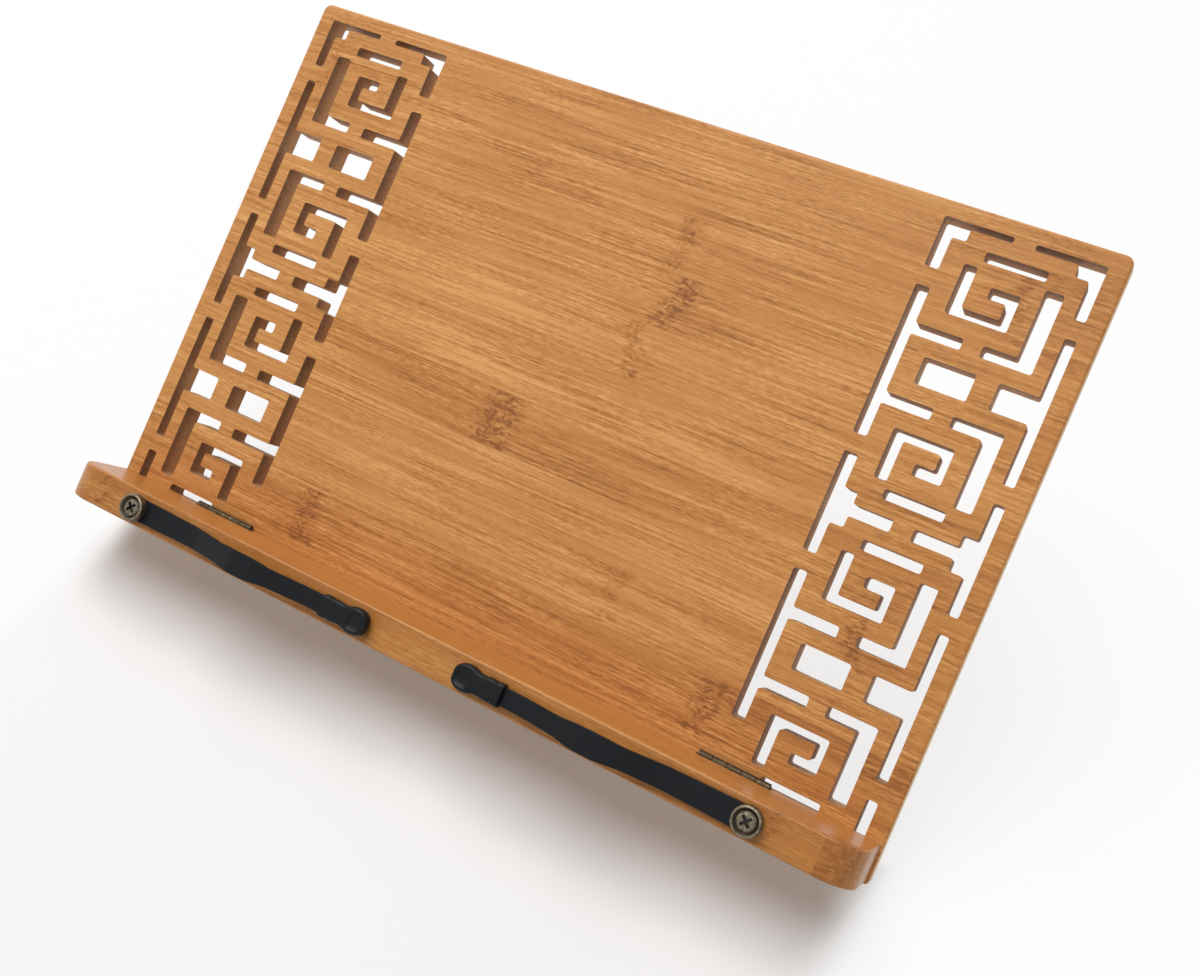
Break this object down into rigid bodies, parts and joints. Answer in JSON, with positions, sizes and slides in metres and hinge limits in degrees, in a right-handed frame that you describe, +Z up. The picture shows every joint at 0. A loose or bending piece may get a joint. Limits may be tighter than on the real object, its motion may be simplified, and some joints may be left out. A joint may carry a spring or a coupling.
{
  "type": "folding book stand",
  "caption": "Folding bamboo reading stand: a fretwork panel leans on a wire prop over a notched base board, with a hinged ledge and swinging page holders.",
  "frame": {"origin": "on the table under the middle of the footprint of the set-up stand", "axes": "+X along the ledge to the reader's right, +Y from the reader to the back, +Z up"},
  "size_m": [0.3202, 0.2042, 0.1451],
  "materials": {
    "panel_bamboo": "carbonised bamboo, satin lacquer",
    "ledge_bamboo": "carbonised bamboo, glossier lacquer",
    "hinge_bronze": "antique bronze plate, rubbed edges",
    "hinge_screw_bronze": "antique bronze plate",
    "prop_steel": "zinc plate, drawn wire",
    "arm_black": "matte charcoal powder coat",
    "tip_rubber": "smooth black rubber",
    "washer_bronze": "antique bronze plate, bright rim",
    "holder_screw_bronze": "dark antique bronze"
  },
  "bodies": {
    "base": {"base_board": "panel_bamboo", "base_hinge_left_base_leaf": "hinge_bronze", "base_hinge_right_base_leaf": "hinge_bronze", "base_hinge_base_screws": "hinge_screw_bronze"},
    "panel": {"panel": "panel_bamboo", "ledge_hinge_left_panel_leaf": "hinge_bronze", "ledge_hinge_left_pin": "hinge_bronze", "ledge_hinge_right_panel_leaf": "hinge_bronze", "ledge_hinge_right_pin": "hinge_bronze", "ledge_hinge_panel_screws": "hinge_screw_bronze", "base_hinge_left_panel_leaf": "hinge_bronze", "base_hinge_left_pin": "hinge_bronze", "base_hinge_right_panel_leaf": "hinge_bronze", "base_hinge_right_pin": "hinge_bronze", "base_hinge_panel_screws": "hinge_screw_bronze", "prop_saddle_left": "prop_steel", "prop_saddle_right": "prop_steel", "prop_saddle_screws": "prop_steel"},
    "ledge": {"ledge": "ledge_bamboo", "ledge_hinge_left_ledge_leaf": "hinge_bronze", "ledge_hinge_right_ledge_leaf": "hinge_bronze", "ledge_hinge_ledge_screws": "hinge_screw_bronze", "page_holder_washer_left": "washer_bronze", "page_holder_washer_right": "washer_bronze", "page_holder_screw_left": "holder_screw_bronze", "page_holder_screw_right": "holder_screw_bronze"},
    "page_holder_left": {"page_holder_arm_left": "arm_black", "page_holder_tip_left": "tip_rubber"},
    "page_holder_right": {"page_holder_arm_right": "arm_black", "page_holder_tip_right": "tip_rubber"},
    "prop": {"prop_wire": "prop_steel"}
  },
  "joints": [
    {"name": "panel_tilt", "type": "hinge", "parent": "base", "child": "panel", "pos_m": [0, -0.06295, 0.0108], "axis": [1, 0, 0], "range_deg": [0, 24]},
    {"name": "prop_swing", "type": "hinge", "parent": "panel", "child": "prop", "pos_m": [0, 0.01663, 0.0746], "axis": [1, 0, 0], "range_deg": [-45, 0]},
    {"name": "ledge_fold", "type": "hinge", "parent": "panel", "child": "ledge", "pos_m": [0, -0.06972, 0.02154], "axis": [1, 0, 0], "range_deg": [-90, 0]},
    {"name": "page_holder_left_swing", "type": "hinge", "parent": "ledge", "child": "page_holder_left", "pos_m": [-0.1235, -0.09303, 0.03984], "axis": [0, -0.6293, 0.7771], "range_deg": [0, 180]},
    {"name": "page_holder_right_swing", "type": "hinge", "parent": "ledge", "child": "page_holder_right", "pos_m": [0.1235, -0.09303, 0.03984], "axis": [0, 0.6293, -0.7771], "range_deg": [0, 180]}
  ],
  "couplings": [
    {"joint": "prop_swing", "follows": "panel_tilt", "ratio": -1.8}
  ]
}
